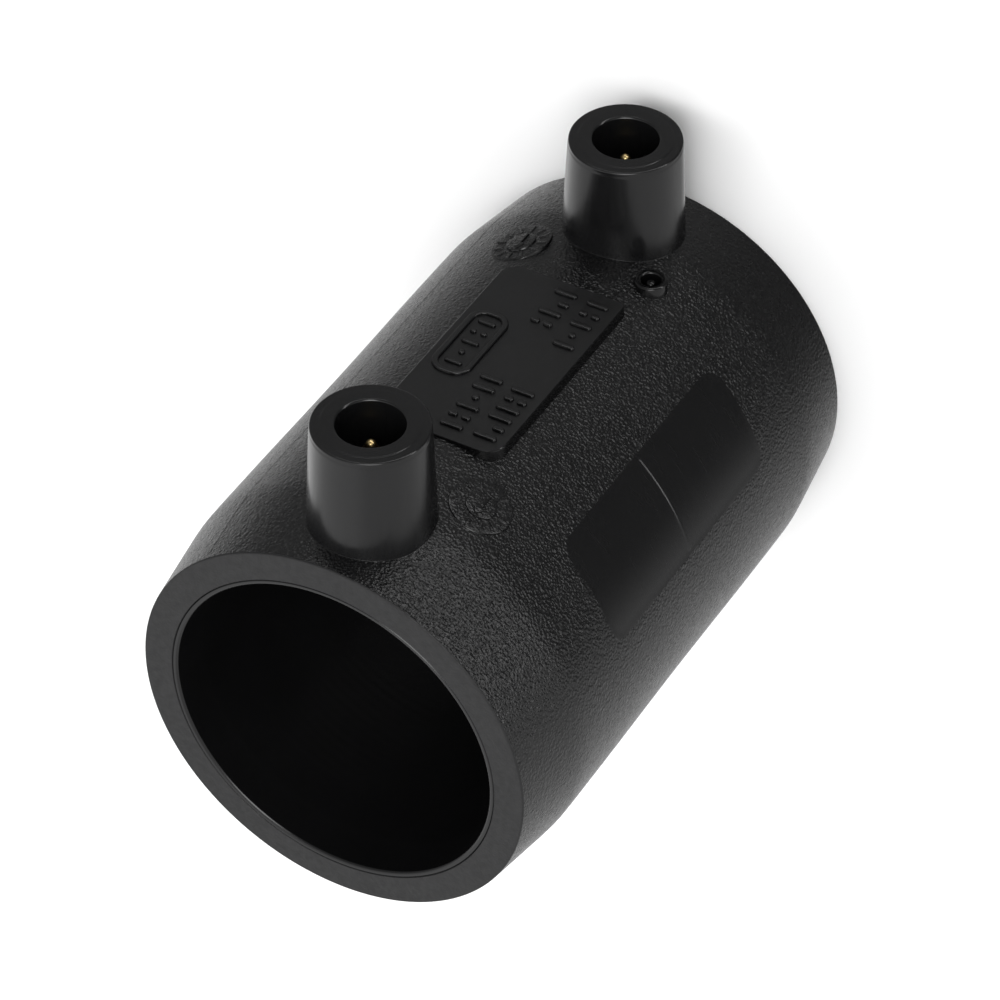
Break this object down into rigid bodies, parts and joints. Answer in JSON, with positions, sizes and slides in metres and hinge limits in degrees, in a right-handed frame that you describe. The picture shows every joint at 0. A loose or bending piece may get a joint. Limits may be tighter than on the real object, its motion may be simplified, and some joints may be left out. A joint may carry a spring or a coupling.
{
  "type": "electrofusion pipe coupler",
  "caption": "Straight electrofusion coupler for polyethylene pipe: a moulded sleeve with a wound heating coil in its bore and a shrouded contact pin near each end",
  "frame": {"origin": "on the bore axis, halfway along, where the two pipe ends meet", "axes": "+Z along the bore, +X the way both terminals stand, +Y completes a right-handed frame"},
  "size_m": [0.0817, 0.0662, 0.098],
  "materials": {
    "body_plastic": "black polyethylene, fine spark-eroded grain with smooth windows and satin terminals",
    "liner_plastic": "smooth black polyethylene with the windings showing as faint rings",
    "coil_wire": "drawn copper-nickel resistance wire",
    "contact_brass": "turned brass, lightly dulled"
  },
  "bodies": {
    "root": {"coupler_body": "body_plastic", "winding_liner": "liner_plastic", "heating_coil": "coil_wire", "lower_contact_pin": "contact_brass", "upper_contact_pin": "contact_brass"}
  },
  "joints": []
}
